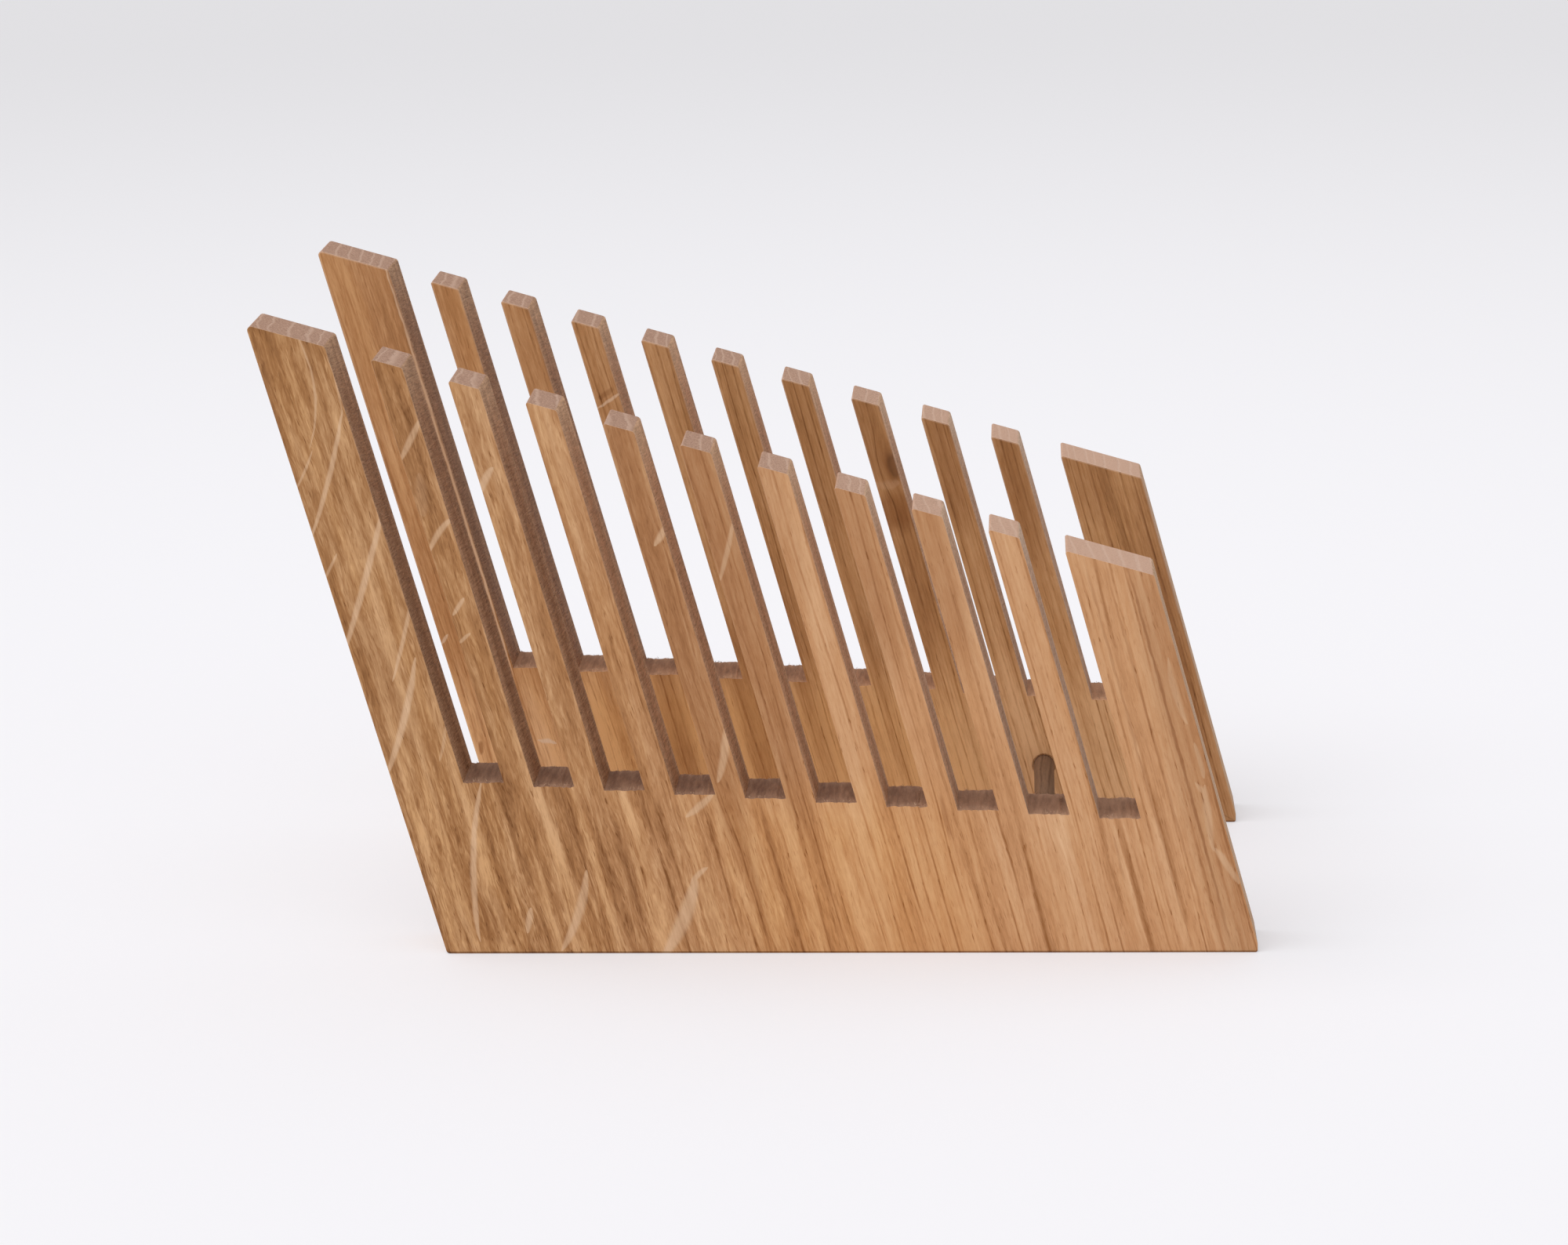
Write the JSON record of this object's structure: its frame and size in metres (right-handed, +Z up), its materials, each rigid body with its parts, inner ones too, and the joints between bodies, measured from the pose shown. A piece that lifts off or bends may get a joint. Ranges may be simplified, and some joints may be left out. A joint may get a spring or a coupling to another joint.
{
  "type": "letter rack",
  "caption": "Oak letter rack: two upright comb boards with leaning slots for letters, stepped down from a high end to a low end and held apart by hidden dowels.",
  "frame": {"origin": "on the table, under the middle of the rack's bounding box", "axes": "+X along the base towards the low end, +Y from the front comb to the back comb, +Z up"},
  "size_m": [0.2514, 0.138, 0.1633],
  "materials": {
    "oak": "oiled oak, grain along the tines, sanded faces and sawn slots",
    "dowel_oak": "oiled oak rod, grain along the rod"
  },
  "bodies": {
    "root": {"front_comb": "oak", "back_comb": "oak", "left_dowel": "dowel_oak", "right_dowel": "dowel_oak"}
  },
  "joints": []
}
